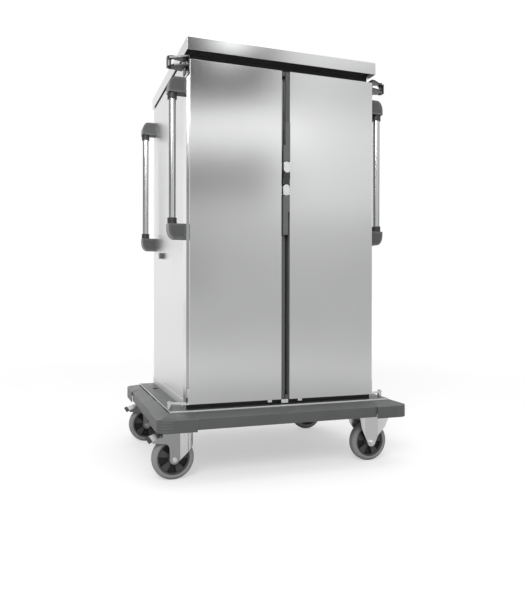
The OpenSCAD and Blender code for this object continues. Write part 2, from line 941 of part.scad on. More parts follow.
// Flat leaf round the right-hand hinge axis, reaching the door's side edge,
// its back edge drawn out to the radius bulge towards the cabinet's corner
module leaf(z, t, bulge) {
    y_in = door_back - 0.7;
    y_out = y_in - leaf_w;
    clear_x = half_w + 5;
    translate([0, 0, z])
        difference() {
            union() {
                translate([hinge_x, hinge_y, 0])
                    cylinder(h = t, r = eye_r, $fn = 48);
                linear_extrude(t)
                    polygon(concat([[door_out, y_out], [door_out, y_in],
                        [clear_x, y_in]],
                        [for (a = [190:-10:160])
                            [max(hinge_x + bulge * cos(a), clear_x),
                            hinge_y + bulge * sin(a)]],
                        [[hinge_x - eye_r * 0.5, hinge_y + eye_r * 0.86],
                        [hinge_x + eye_r * 0.7, hinge_y - eye_r * 0.71],
                        [hinge_x - eye_r, hinge_y - 12 - 0.27 * bulge],
                        [clear_x, y_out]]));
            }
            translate([hinge_x, hinge_y, -1])
                cylinder(h = t + 2, r = hinge_pin_r + hinge_clear, $fn = 48);
        }
}

// Flange on the door's side edge between two heights
module edge_flange(z0, z1) {
    y_in = door_back - 0.7;
    span([door_out, y_in - leaf_w, z0], [door_out + flange_t, y_in, z1]);
}

module door_hinges() {
    leaf(arm_z, arm_t, eye_r);
    edge_flange(arm_z, arm_z + arm_flange_h);
    leaf(yoke_leaf_z, yoke_leaf_t, yoke_bulge_r);
    leaf(yoke_top - yoke_leaf_t, yoke_leaf_t, eye_r);
    edge_flange(yoke_z, yoke_top);
    translate([hinge_x, hinge_y, 0])
        difference() {
            span([eye_r - 0.5, -eye_r, yoke_leaf_z],
                [eye_r + 3, eye_r * 0.6, yoke_top]);
            translate([0, 0, yoke_leaf_z - 1])
                cylinder(h = yoke_top, r = hinge_pin_r + hinge_clear, $fn = 48);
        }
}

// Fixed plate above the yoke, with the pin that hangs through both leaves
module hinge_brackets_top() {
    z = yoke_top + panel_gap;
    color(bright)
        both_sides() {
            translate([hinge_x, hinge_y, z])
                cylinder(h = bracket_t, r = eye_r, $fn = 48);
            translate([0, 0, z])
                linear_extrude(bracket_t)
                    polygon([[half_w, body_front + 2],
                        [half_w, frame_back - 2],
                        [hinge_x, hinge_y + eye_r],
                        [hinge_x, hinge_y - eye_r]]);
            span([half_w, body_front + 2, wall_top - bracket_drop],
                [half_w + flange_t, frame_back - 2, z + bracket_t]);
            translate([hinge_x, hinge_y, yoke_leaf_z - 3])
                cylinder(h = z - yoke_leaf_z + 3 + bracket_t, r = hinge_pin_r,
                    $fn = 48);
        }
}

// Post on the deck: a collar under the arm and a pin through its eye
module hinge_posts_bottom() {
    color(steel)
        both_sides()
            translate([hinge_x, hinge_y, deck_z]) {
                cylinder(h = arm_z - deck_z - panel_gap, r = eye_r - 1.5,
                    $fn = 48);
                cylinder(h = arm_z + arm_t + 4 - deck_z, r = hinge_pin_r,
                    $fn = 48);
            }
}

/* ---- doors, drawn on the right-hand side ---- */

module door_skin() {
    difference() {
        span([door_in, door_front, door_z], [door_out, door_back, door_top]);
        span([door_in + sheet, door_front + sheet, door_z + sheet],
            [door_out - sheet, door_back + 1, door_top - sheet]);
    }
}

module door_liner() {
    difference() {
        span([door_in + sheet, door_back - liner_t, door_z + sheet],
            [door_out - sheet, door_back, door_top - sheet]);
        ring_xz(door_in + seal_inset, door_out - seal_inset,
            door_z + seal_inset, door_top - seal_inset,
            door_back - liner_t - 1, door_back + 1, seal_w);
    }
}

module door_core() {
    difference() {
        span([door_in + sheet, door_front + sheet, door_z + sheet],
            [door_out - sheet, door_back - liner_t, door_top - sheet]);
        ring_xz(door_in + seal_inset, door_out - seal_inset,
            door_z + seal_inset, door_top - seal_inset,
            door_back - 6, door_back + 1, seal_w);
    }
}

module door_seal() {
    ring_xz(door_in + seal_inset, door_out - seal_inset,
        door_z + seal_inset, door_top - seal_inset,
        door_back - 6, door_back, seal_w);
}

// Dark edge profile, cut back over the half of the height that holds the
// other door's latch: up is 1 for the upper half and -1 for the lower one
module door_edge(up) {
    low = up > 0 ? latch_mid_z : door_z + edge_end_h;
    high = up > 0 ? door_top - edge_end_h : latch_mid_z;
    difference() {
        span([slot_side, edge_front, door_z], [door_in, edge_back, door_top]);
        span([0, edge_front - 1, low], [door_in - edge_cut_w, edge_back + 1,
            high]);
    }
}

// Latch parts are drawn for the right door, above the middle plane at z = 0
module latch_base() {
    x0 = latch_shift - latch_w / 2;
    x1 = latch_shift + latch_w / 2;
    plate_top = latch_pivot + latch_hub_len;
    difference() {
        union() {
            span([x0, edge_front - 3, latch_gap], [door_in, edge_front, plate_top]);
            span([x0, latch_face, latch_gap],
                [x1, edge_front - 3, latch_gap + latch_nose_h]);
        }
        translate([latch_shift, edge_front + 1, latch_pivot])
            rotate([90, 0, 0])
                cylinder(h = 30, r = spindle_r + spindle_clear, $fn = 32);
    }
}

module latch_hub() {
    top = latch_pivot + latch_hub_len;
    translate([latch_shift, latch_back, latch_pivot])
        rotate([90, 0, 0])
            cylinder(h = latch_back - latch_face, r = latch_w / 2, $fn = 64);
    span([latch_shift - latch_w / 2, latch_face, latch_pivot],
        [latch_shift + latch_w / 2, latch_back, top]);
    translate([latch_shift, edge_front, latch_pivot])
        rotate([90, 0, 0])
            cylinder(h = edge_front - latch_face - 3, r = spindle_r, $fn = 32);
    span([latch_shift - latch_grip_w / 4, latch_face + 3, top - 1],
        [latch_shift + latch_grip_w / 4, latch_back - 3,
        top + latch_grip_gap + latch_tongue]);
}

module latch_grip() {
    low = latch_pivot + latch_hub_len + latch_grip_gap;
    side = latch_shift + latch_w / 2;
    difference() {
        union() {
            span([side - latch_grip_w, latch_face, low],
                [side, latch_back, low + latch_grip_len]);
            span([side - latch_w, latch_face + 1, low],
                [side, latch_back, low + latch_root_len]);
        }
        span([latch_shift - latch_grip_w / 4, latch_face + 3, low - 1],
            [latch_shift + latch_grip_w / 4, latch_back - 3,
            low + latch_tongue + panel_gap]);
    }
}

// Puts a latch part of the right door at its height
module upper_latch() {
    translate([0, 0, latch_mid_z])
        children();
}

// Turns it upside down and across for the left door
module lower_latch() {
    translate([0, 0, latch_mid_z])
        rotate([0, 180, 0])
            children();
}

/* ---- small parts ---- */

module door_catches() {
    open_face = hinge_x - (hinge_y - door_front);
    color(dark_grey)
        both_sides()
            difference() {
                span([half_w, catch_y, catch_z],
                    [open_face - catch_gap, catch_y + catch_w, catch_z + catch_h]);
                translate([half_w + 5, catch_y + catch_w / 2,
                    catch_z + catch_h / 2])
                    rotate([0, 90, 0])
                        cylinder(h = 30, r = 3, $fn = 24);
            }
}

// Two light rest blocks under the doors and a dark one under the slot
module sill_blocks() {
    top = door_z - panel_gap;
    color(bright)
        both_sides()
            span([sill_block_x, body_front - 22, body_foot + 10],
                [sill_block_x + sill_block_l, body_front, top]);
    color(black)
        span([-door_in + 2, body_front - 20, body_foot + 4],
            [door_in - 2, body_front, top]);
}

/* ---- castors ---- */

module castor_plate(sx, sy) {
    translate([sx * castor_x - plate_l / 2, sy * castor_y - plate_w / 2, head_z])
        cube([plate_l, plate_w, plate_t]);
}

// Top plates of the swivel castors, each with its kingpin
module castor_plates() {
    color(steel)
        for (sy = [-1, 1])
            difference() {
                union() {
                    castor_plate(-1, sy);
                    translate([-castor_x, sy * castor_y, head_z - race_h])
                        cylinder(h = race_h, r = head_r * 0.8, $fn = 64);
                    translate([-castor_x, sy * castor_y, fork_top - 3 * fork_t])
                        cylinder(h = head_z - fork_top + 3 * fork_t,
                            r = kingpin_r, $fn = 48);
                }
                castor_bolt_holes(head_z - 1, frame_low + 1);
            }
}

// Height of the pedal plate's underside at x from the swivel axis
function pedal_line(x) = pin_z + pedal_lift + (x + pin_x) * tan(pedal_slope);

// Side view of a swivel fork about its swivel axis: a tail under the pedal,
// a boss round the axle and a slanting lower edge up to the nose
module swivel_side() {
    ax = -trail;
    az = wheel_r;
    bend = 20;
    tail_low = az + wheel_r - 16;
    crown_back = -pin_x + 14;
    difference() {
        union() {
            polygon(concat([[nose_reach + 1, fork_top],
                [nose_reach + 1, az + wheel_r - 33],
                [ax + wheel_r - 24, az + wheel_r - 56],
                [ax + boss_r - 2, az - 9], [ax - boss_r + 1, az - 5]],
                [for (a = [0:15:90])
                    [ax - boss_r - bend * (1 - cos(a)),
                    tail_low - 5 - bend * (1 - sin(a))]],
                [[-fork_tail, tail_low],
                [-fork_tail, pedal_line(-fork_tail) - 1],
                [-pin_x + 1, pedal_line(-pin_x + 1) - 1],
                [crown_back - 6, pedal_line(-pin_x + 1) - 1],
                [crown_back, fork_top]]));
            translate([ax, az])
                circle(r = boss_r, $fn = 48);
        }
        translate([ax, az])
            circle(r = axle_r, $fn = 48);
        translate([-pin_x, pin_z])
            circle(r = pin_r + 0.05, $fn = 24);
    }
}

// Plan of a swivel fork: two cheeks that close in from the crease to a round
// nose, for a half width and a nose radius
module fork_plan(half, nose) {
    centre = nose_reach - nose_r;
    crease = fork_crease - trail;
    polygon([[-2 * fork_tail, -half], [crease, -half], [centre, -nose],
        [centre, nose], [crease, half], [-2 * fork_tail, half]]);
    translate([centre, 0])
        circle(r = nose, $fn = 64);
}

// Fork about its swivel axis at the origin, trailing to -X, with its axle
module swivel_fork() {
    outer = wheel_gap + fork_t;
    difference() {
        intersection() {
            linear_extrude(fork_top)
                fork_plan(outer, nose_r);
            translate([0, outer + 1, 0])
                rotate([90, 0, 0])
                    linear_extrude(2 * outer + 2)
                        swivel_side();
        }
        linear_extrude(fork_top - fork_t)
            fork_plan(wheel_gap, nose_r - fork_t);
        translate([0, 0, fork_top - crown_drop])
            cylinder(h = 2 * crown_drop, r = kingpin_r + 0.05, $fn = 48);
    }
    difference() {
        translate([0, 0, fork_top])
            cylinder(h = crown_drop - race_h - panel_gap, r = head_r, $fn = 64);
        translate([0, 0, fork_top - crown_drop])
            cylinder(h = 2 * crown_drop, r = kingpin_r + 0.05, $fn = 48);
    }
    translate([-trail, outer + axle_end, wheel_r])
        rotate([90, 0, 0])
            cylinder(h = 2 * (outer + axle_end), r = axle_r, $fn = 48);
    for (s = [-1, 1])
        translate([-trail, s > 0 ? outer + nut_h : -outer, wheel_r])
            rotate([90, 0, 0])
                cylinder(h = nut_h, r = nut_r, $fn = 6);
    translate([-pin_x, outer, pin_z])
        rotate([90, 0, 0])
            cylinder(h = 2 * outer, r = pin_r, $fn = 24);
}

module swivel_place(sy) {
    translate([-castor_x, sy * castor_y, 0])
        children();
}

// Side view of the sloping pedal plate between two places along X
module pedal_plate(x0, x1, t) {
    polygon([[x0, pedal_line(x0)], [x1, pedal_line(x1)],
        [x1, pedal_line(x1) + t], [x0, pedal_line(x0) + t]]);
}

// Piece w wide across the fork, drawn by the side view of its children
module across(w) {
    translate([0, w / 2, 0])
        rotate([90, 0, 0])
            linear_extrude(w)
                children();
}

// Foot pedal about the swivel axis: a wide plate over the fork's tail with a
// thick toe, and a narrow root between the cheeks, on the cross pin
module brake_pedal() {
    tip = -trail - wheel_r - pedal_reach;
    root_w = 2 * wheel_gap - 5;
    difference() {
        union() {
            across(pedal_w)
                union() {
                    pedal_plate(tip, -pin_x + 1, pedal_t);
                    pedal_plate(tip, tip + toe_l, 2 * pedal_t);
                }
            across(root_w)
                union() {
                    pedal_plate(-pin_x - 1, -pin_x + 8, pedal_t);
                    polygon([[-pin_x - 6, pin_z], [-pin_x + 6, pin_z],
                        [-pin_x + 6, pedal_line(-pin_x + 6) + 1],
                        [-pin_x - 6, pedal_line(-pin_x - 6) + 1]]);
                    translate([-pin_x, pin_z])
                        circle(r = 8, $fn = 48);
                }
        }
        across(root_w + 2)
            translate([-pin_x, pin_z])
                circle(r = pin_r + 0.05, $fn = 24);
    }
}

// Front view of a fixed fork: wide under the plate, narrow at the axle. Its
// wings stop below the heads of the plate's bolts
module fixed_side() {
    half = panel_w / 2;
    wing = wing_w / 2;
    under_bolts = head_z - 8;
    difference() {
        union() {
            for (s = [0, 1])
                mirror([s, 0])
                    polygon([[-1, wheel_r - 5], [boss_r - 1, wheel_r - 5],
                        [half, wheel_r * 1.3], [wing * 0.8, wheel_r * 1.79],
                        [wing, under_bolts], [half, under_bolts],
                        [half, head_z + 1], [-1, head_z + 1]]);
            translate([0, wheel_r])
                circle(r = boss_r, $fn = 48);
        }
        translate([0, wheel_r])
            circle(r = axle_r, $fn = 48);
    }
}

// Plan of a fixed fork's leg: a flat panel with its wings turned outwards
module leg_plan() {
    half = panel_w / 2;
    wing = wing_w / 2;
    out = (wing - half) * tan(wing_turn);
    y = wheel_gap + fork_t;
    polygon([[-wing, y + out], [-half, y], [half, y], [wing, y + out],
        [wing, y + out - fork_t], [half, y - fork_t], [-half, y - fork_t],
        [-wing, y + out - fork_t]]);
}

module fixed_forks() {
    color(steel)
        for (sy = [-1, 1])
            difference() {
                union() {
                    castor_plate(1, sy);
                    for (s = [-1, 1])
                        translate([castor_x, sy * castor_y, 0])
                            intersection() {
                                flip_y(s)
                                    linear_extrude(head_z + 1)
                                        leg_plan();
                                across(2 * plate_w)
                                    fixed_side();
                            }
                }
                castor_bolt_holes(head_z - 1, frame_low + 1);
            }
}

module fixed_axles() {
    color(bright)
        for (sy = [-1, 1])
            translate([castor_x, sy * castor_y, wheel_r])
                rotate([90, 0, 0]) {
                    cylinder(h = 2 * (wheel_gap + fork_t + axle_end),
                        r = axle_r, center = true, $fn = 48);
                    for (s = [-1, 1])
                        translate([0, 0, s * (wheel_gap + fork_t + nut_h / 2)])
                            cylinder(h = nut_h, r = nut_r, center = true,
                                $fn = 6);
                }
}

// Bolt, head and washer of every castor plate
module castor_bolts() {
    color(bright)
        for (sx = [-1, 1], sy = [-1, 1], bx = [-1, 1], by = [-1, 1])
            translate([sx * castor_x + bx * bolt_x / 2,
                sy * castor_y + by * bolt_y / 2, head_z]) {
                translate([0, 0, -5])
                    cylinder(h = 5, r = bolt_r * 1.6, $fn = 6);
                translate([0, 0, -1])
                    cylinder(h = plate_t + chassis_wall + 2, r = bolt_r,
                        $fn = 32);
            }
}

// Section of a tyre: radius against width, with round shoulders
module tyre_section() {
    w = tyre_w / 2;
    deep = 15;
    wide = 12;
    polygon(concat([[rim_r, -w + 1.5]],
        [for (a = [0:15:90])
            [wheel_r - deep * (1 - sin(a)), -w + wide * (1 - cos(a))]],
        [for (a = [90:-15:0])
            [wheel_r - deep * (1 - sin(a)), w - wide * (1 - cos(a))]],
        [[rim_r, w - 1.5]]));
}

module tyre(x, y) {
    color(rubber_grey)
        translate([x, y, wheel_r])
            rotate([90, 0, 0])
                rotate_extrude($fn = 96)
                    tyre_section();
}

// Section of a rim: hub, thin web and the seat of the tyre
module rim_section() {
    w = tyre_w / 2;
    bore = axle_r + axle_clear;
    polygon([[bore, -w - 3], [18, -w - 3], [20, -w + 4], [24, -3],
        [rim_r - 9, -3], [rim_r - 6, -w + 3], [rim_r, -w + 1.5],
        [rim_r, w - 1.5], [rim_r - 6, w - 3], [rim_r - 9, 3], [24, 3],
        [20, w - 4], [18, w + 3], [bore, w + 3]]);
}

// Spokes between hub and seat, with deep pockets between them
module rim_spokes() {
    turn = 360 / spokes;
    spread = turn * 0.22;
    r0 = 20;
    r1 = rim_r - 6;
    thick = tyre_w - 14;
    for (i = [0:spokes - 1])
        rotate([0, 0, 12 + i * turn])
            linear_extrude(thick, center = true)
                polygon([[r0 * cos(spread), -r0 * sin(spread)],
                    [r1 * cos(spread), -r1 * sin(spread)], [r1, 0],
                    [r1 * cos(spread), r1 * sin(spread)],
                    [r0 * cos(spread), r0 * sin(spread)]]);
}

module rim(x, y) {
    color(black)
        translate([x, y, wheel_r])
            rotate([90, 0, 0])
                union() {
                    rotate_extrude($fn = 96)
                        rim_section();
                    difference() {
                        rim_spokes();
                        cylinder(h = 2 * tyre_w, r = 17, center = true,
                            $fn = 48);
                    }
                }
}

chassis_frame();
deck_plate();
deck_edge_trim();
bumper_rails();
bumper_corners();
cabinet_floor();
side_wall_left();
side_wall_right();
back_wall();
wall_insulation();
inner_liner();
front_frame();
middle_partition();
roof_cover();
roof_plinth();
ceiling_panel();
tray_racks_left();
tray_racks_right();
handle_tubes();
handle_elbows();
handle_screws();
door_catches();
sill_blocks();
hinge_brackets_top();
hinge_posts_bottom();
castor_plates();
fixed_forks();
fixed_axles();
castor_bolts();
color(steel) mirror([1, 0, 0]) door_skin();  // door_skin_left
color(bright) mirror([1, 0, 0]) door_liner();  // door_liner_left
color(foam) mirror([1, 0, 0]) door_core();  // door_core_left
color(black) mirror([1, 0, 0]) door_seal();  // door_seal_left
color(dark_grey) mirror([1, 0, 0]) door_edge(1);  // door_edge_left
color(bright) mirror([1, 0, 0]) door_hinges();  // door_hinges_left
color(dark_grey) lower_latch() latch_base();  // latch_base_left
color(steel) door_skin();  // door_skin_right
color(bright) door_liner();  // door_liner_right
color(foam) door_core();  // door_core_right
color(black) door_seal();  // door_seal_right
color(dark_grey) door_edge(-1);  // door_edge_right
color(bright) door_hinges();  // door_hinges_right
color(dark_grey) upper_latch() latch_base();  // latch_base_right
color(bright) upper_latch() latch_hub();  // latch_hub_upper
color(dark_grey) upper_latch() latch_grip();  // latch_grip_upper
color(bright) lower_latch() latch_hub();  // latch_hub_lower
color(dark_grey) lower_latch() latch_grip();  // latch_grip_lower
color(steel) swivel_place(-1) swivel_fork();  // swivel_fork_front
color(steel) swivel_place(1) swivel_fork();  // swivel_fork_rear
color(bright) swivel_place(-1) brake_pedal();  // brake_pedal_front
color(bright) swivel_place(1) brake_pedal();  // brake_pedal_rear
tyre(swivel_x, -castor_y);  // tyre_front_left
rim(swivel_x, -castor_y);  // rim_front_left
tyre(swivel_x, castor_y);  // tyre_rear_left
rim(swivel_x, castor_y);  // rim_rear_left
tyre(castor_x, -castor_y);  // tyre_front_right
rim(castor_x, -castor_y);  // rim_front_right
tyre(castor_x, castor_y);  // tyre_rear_right
rim(castor_x, castor_y);  // rim_rear_right
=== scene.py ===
import bpy
import bmesh
import json
import math
from mathutils import Matrix, Vector


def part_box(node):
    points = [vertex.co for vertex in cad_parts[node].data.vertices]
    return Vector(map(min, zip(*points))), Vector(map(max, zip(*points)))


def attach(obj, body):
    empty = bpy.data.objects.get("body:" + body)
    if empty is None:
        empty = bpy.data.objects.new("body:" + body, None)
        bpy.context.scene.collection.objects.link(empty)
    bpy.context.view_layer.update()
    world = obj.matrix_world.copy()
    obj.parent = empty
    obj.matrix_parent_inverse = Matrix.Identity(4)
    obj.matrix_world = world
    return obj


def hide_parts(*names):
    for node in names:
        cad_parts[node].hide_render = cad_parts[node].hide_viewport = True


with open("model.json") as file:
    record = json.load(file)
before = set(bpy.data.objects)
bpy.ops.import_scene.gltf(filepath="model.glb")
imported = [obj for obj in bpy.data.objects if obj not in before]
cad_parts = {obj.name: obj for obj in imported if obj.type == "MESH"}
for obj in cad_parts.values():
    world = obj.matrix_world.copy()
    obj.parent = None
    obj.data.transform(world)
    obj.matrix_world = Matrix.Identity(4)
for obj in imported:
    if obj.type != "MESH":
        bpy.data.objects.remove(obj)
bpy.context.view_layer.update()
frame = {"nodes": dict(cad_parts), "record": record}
print("frame loaded")

mm = 0.001
nodes = frame["nodes"]
bodyOf = {node: body for body, members in frame["record"]["behaviour"]["bodies"].items()
          for node in members}
slotOf = {row["node"]: row["material_slot"] for row in frame["record"]["subparts"]}

cameraView = {
    "place": (-0.8925, -2.0939, 0.6799),  # metres
    "turn": (89.91, -0.07, -15.76),  # degrees
    "sensor": 36,  # millimetres, as the lens
    "lens": 30.52,
    "shift": (0.122, -0.006),
}


def makeCamera(view):
    data = bpy.data.cameras.new("camera")
    data.sensor_fit = "AUTO"
    data.sensor_width = view["sensor"]
    data.lens = view["lens"]
    data.shift_x, data.shift_y = view["shift"]
    camera = bpy.data.objects.new("camera", data)
    camera.location = view["place"]
    camera.rotation_euler = [math.radians(angle) for angle in view["turn"]]
    bpy.context.scene.collection.objects.link(camera)
    bpy.context.scene.camera = camera


makeCamera(cameraView)
print("camera set")


def addNode(tree, kind, place, **values):
    node = tree.nodes.new(kind)
    node.location = place
    for key, value in values.items():
        setattr(node, key, value)
    return node


def link(tree, source, target):
    tree.links.new(source, target)


def feed(tree, socket, value):
    # A number or a colour is set on the socket, and an output is linked to it
    if isinstance(value, (int, float)):
        socket.default_value = value
    elif isinstance(value, tuple):
        socket.default_value = (*value, 1)
    else:
        link(tree, value, socket)


def mathNode(tree, operation, place, *values, clamp=False):
    node = addNode(tree, "ShaderNodeMath", place, operation=operation, use_clamp=clamp)
    for socket, value in zip(node.inputs, values):
        feed(tree, socket, value)
    return node.outputs[0]


def mixColour(tree, place, factor, first, second):
    # Inputs 6 and 7 and output 2 are the colours of a Mix node
    node = addNode(tree, "ShaderNodeMix", place, data_type="RGBA")
    feed(tree, node.inputs[0], factor)
    feed(tree, node.inputs[6], first)
    feed(tree, node.inputs[7], second)
    return node.outputs[2]


def mapRange(tree, place, value, span, reach=(0, 1), shape="LINEAR"):
    node = addNode(tree, "ShaderNodeMapRange", place, interpolation_type=shape)
    link(tree, value, node.inputs["Value"])
    node.inputs["From Min"].default_value, node.inputs["From Max"].default_value = span
    node.inputs["To Min"].default_value, node.inputs["To Max"].default_value = reach
    return node.outputs["Result"]


def noiseNode(tree, place, vector, **values):
    node = addNode(tree, "ShaderNodeTexNoise", place)
    link(tree, vector, node.inputs["Vector"])
    for key, value in values.items():
        feed(tree, node.inputs[key], value)
    return node.outputs["Fac"]


def newGroup(name, numbers, outputs):
    # A shared effect reads a place and some numbers, and puts out values and masks
    group = bpy.data.node_groups.new(name, "ShaderNodeTree")
    group.interface.new_socket("Vector", in_out="INPUT", socket_type="NodeSocketVector")
    for label, value in numbers.items():
        socket = group.interface.new_socket(label, in_out="INPUT", socket_type="NodeSocketFloat")
        socket.default_value = value
    for label in outputs:
        group.interface.new_socket(label, in_out="OUTPUT", socket_type="NodeSocketFloat")
    start = addNode(group, "NodeGroupInput", (-900, 0))
    end = addNode(group, "NodeGroupOutput", (700, 0))
    return group, start.outputs, end.inputs


def useGroup(tree, group, place, vector, **values):
    node = addNode(tree, "ShaderNodeGroup", place, node_tree=group)
    link(tree, vector, node.inputs["Vector"])
    for key, value in values.items():
        node.inputs[key].default_value = value
    return node.outputs


grainValues = {
    "fineness": 900.0,  # scratches in a metre across the brushing
    "stretch": 0.02,  # the same along the brushing, as a share
    "scratchDetail": 3,
    "cloudScale": 4,
    "cloudDetail": 4,
}


def makeGrainGroup(values):
    # Long fine scratches of a brushed sheet, running along Z, and slow cloudy change
    group, given, result = newGroup(
        "brushedGrain", {"Fineness": values["fineness"], "Stretch": values["stretch"]},
        ["Height", "Cloud"])
    parts = addNode(group, "ShaderNodeSeparateXYZ", (-700, 0))
    link(group, given["Vector"], parts.inputs[0])
    along = mathNode(group, "MULTIPLY", (-520, -160), parts.outputs[2], given["Stretch"])
    joined = addNode(group, "ShaderNodeCombineXYZ", (-340, 0))
    link(group, parts.outputs[0], joined.inputs[0])
    link(group, parts.outputs[1], joined.inputs[1])
    link(group, along, joined.inputs[2])
    scratch = noiseNode(group, (-140, 120), joined.outputs[0], Scale=given["Fineness"],
                        Detail=values["scratchDetail"])
    cloud = noiseNode(group, (-140, -220), given["Vector"], Scale=values["cloudScale"],
                      Detail=values["cloudDetail"])
    link(group, scratch, result["Height"])
    link(group, cloud, result["Cloud"])
    return group


pebbleValues = {
    "grain": 1400.0,  # pebbles in a metre
    "dust": 9.0,  # patches of dust in a metre
    "dustDetail": 6,
    "dustRough": 0.62,
}


def makePebbleGroup(values):
    # Fine leathery grain of a moulded plastic, and dust that gathers unevenly
    group, given, result = newGroup(
        "mouldedGrain", {"Grain": values["grain"], "Dust": values["dust"]}, ["Height", "Dust"])
    cells = addNode(group, "ShaderNodeTexVoronoi", (-500, 150))
    link(group, given["Vector"], cells.inputs["Vector"])
    link(group, given["Grain"], cells.inputs["Scale"])
    dust = noiseNode(group, (-500, -150), given["Vector"], Scale=given["Dust"],
                     Detail=values["dustDetail"], Roughness=values["dustRough"])
    link(group, cells.outputs["Distance"], result["Height"])
    link(group, dust, result["Dust"])
    return group


wearAndSheenValues = {
    "radius": 0.002,  # metres from an edge
    "samples": 4,
    "noiseScale": 160,
    "noiseDetail": 5,
    "gain": 9.0,
}


def makeWearAndSheenGroup(values):
    # 1 along convex and concave edges, broken up by noise
    group, given, result = newGroup("edgeWearAndSheenMask", {"Radius": values["radius"]}, ["Mask"])
    soft = addNode(group, "ShaderNodeBevel", (-600, 150), samples=values["samples"])
    link(group, given["Radius"], soft.inputs["Radius"])
    plain = addNode(group, "ShaderNodeNewGeometry", (-600, -50))
    dot = addNode(group, "ShaderNodeVectorMath", (-380, 100), operation="DOT_PRODUCT")
    link(group, soft.outputs["Normal"], dot.inputs[0])
    link(group, plain.outputs["Normal"], dot.inputs[1])
    bend = mathNode(group, "SUBTRACT", (-180, 100), 1.0, dot.outputs["Value"])
    noise = noiseNode(group, (-380, -250), given["Vector"], Scale=values["noiseScale"],
                      Detail=values["noiseDetail"])
    broken = mathNode(group, "MULTIPLY", (0, 60), bend, noise)
    mask = mathNode(group, "MULTIPLY", (180, 60), broken, values["gain"], clamp=True)
    link(group, mask, result["Mask"])
    return group


grainGroup = makeGrainGroup(grainValues)
pebbleGroup = makePebbleGroup(pebbleValues)
wearAndSheenGroup = makeWearAndSheenGroup(wearAndSheenValues)
noiseSpan = (0.25, 0.75)  # where most of a noise's values lie


def newMaterial(name):
    material = bpy.data.materials.new(name)
    material.use_nodes = True
    tree = material.node_tree
    place = addNode(tree, "ShaderNodeTexCoord", (-1300, 0))
    return material, tree, tree.nodes["Principled BSDF"], place.outputs["Object"]


def bumpInto(tree, shader, height, strength, depth):
    bump = addNode(tree, "ShaderNodeBump", (-220, -380))
    bump.inputs["Strength"].default_value = strength
    bump.inputs["Distance"].default_value = depth
    link(tree, height, bump.inputs["Height"])
    link(tree, bump.outputs["Normal"], shader.inputs["Normal"])


def roughInto(tree, shader, value, rough, spread):
    reach = [rough * share for share in spread]
    link(tree, mapRange(tree, (-420, -200), value, noiseSpan, reach), shader.inputs["Roughness"])


def toned(colour, share):
    return tuple(channel * share for channel in colour)


def lifted(colour, amount):
    return tuple(channel + amount for channel in colour)


steelValues = {
    "patch": 0.93,  # share of the colour in the darker clouds
    "wornAndSheen": 1.12,  # share of the colour on worn edges
    "edge": 0.0015,  # metres
    "roughSpread": (0.86, 1.3),
    "bump": (0.03, 0.0001),  # strength and depth in metres
}


def brushedSteel(name, colour, rough, fineness=900.0, edgeWearAndSheen=0.35):
    values = steelValues
    material, tree, shader, place = newMaterial(name)
    grain = useGroup(tree, grainGroup, (-900, 100), place, Fineness=fineness)
    edges = useGroup(tree, wearAndSheenGroup, (-900, -250), place, Radius=values["edge"])
    body = mixColour(tree, (-560, 200), grain["Cloud"], toned(colour, values["patch"]), colour)
    wearAndSheenShare = mathNode(tree, "MULTIPLY", (-560, -40), edges["Mask"], edgeWearAndSheen)
    wornAndSheen = mixColour(tree, (-360, 200), wearAndSheenShare, body, toned(colour, values["wornAndSheen"]))
    link(tree, wornAndSheen, shader.inputs["Base Color"])
    shader.inputs["Metallic"].default_value = 1.0
    mixed = mathNode(tree, "MULTIPLY", (-620, -420), grain["Height"], grain["Cloud"])
    roughInto(tree, shader, mixed, rough, values["roughSpread"])
    bumpInto(tree, shader, grain["Height"], *values["bump"])
    return material


plasticValues = {
    "patch": 0.85,  # share of the colour in the darker patches
    "dust": 0.12,  # added to the colour where the dust is thickest
    "wornAndSheen": 0.10,  # added to the colour on worn edges; on the bumper, a painted highlight along the edges
    "edge": 0.002,  # metres
    "hollow": 0.025,  # metres that the painted shade of a hollow reaches out
    "samples": 4,
    "roughSpread": (0.88, 1.15),
    "bump": (0.25, 0.0003),  # strength and depth in metres
}


def mouldedPlastic(name, colour, rough, grain, dusty=0.25, edgeWearAndSheen=0.5, paintedHollowShade=0.35):
    values = plasticValues
    material, tree, shader, place = newMaterial(name)
    skin = useGroup(tree, pebbleGroup, (-900, 100), place, Grain=grain)
    edges = useGroup(tree, wearAndSheenGroup, (-900, -250), place, Radius=values["edge"])
    dark = toned(colour, values["patch"])
    pale = lifted(colour, dusty * values["dust"])
    body = mixColour(tree, (-560, 200), skin["Dust"], dark, pale)
    # Lighter edges: wear, and on the bumper a painted highlight
    wearAndSheenShare = mathNode(tree, "MULTIPLY", (-560, -40), edges["Mask"], edgeWearAndSheen)
    wornAndSheen = mixColour(tree, (-360, 200), wearAndSheenShare, body, lifted(colour, values["wornAndSheen"]))
    # Painted shade: the colour is darkened by ambient occlusion in hollows and crevices
    hollowOcclusion = addNode(tree, "ShaderNodeAmbientOcclusion", (-900, 500), samples=values["samples"])
    hollowOcclusion.inputs["Distance"].default_value = values["hollow"]
    shade = mathNode(tree, "MULTIPLY_ADD", (-560, 500), hollowOcclusion.outputs["AO"], paintedHollowShade, 1 - paintedHollowShade)
    shaded = addNode(tree, "ShaderNodeVectorMath", (-160, 300), operation="SCALE")
    link(tree, wornAndSheen, shaded.inputs[0])
    link(tree, shade, shaded.inputs["Scale"])
    link(tree, shaded.outputs["Vector"], shader.inputs["Base Color"])
    roughInto(tree, shader, skin["Dust"], rough, values["roughSpread"])
    bumpInto(tree, shader, skin["Height"], *values["bump"])
    return material


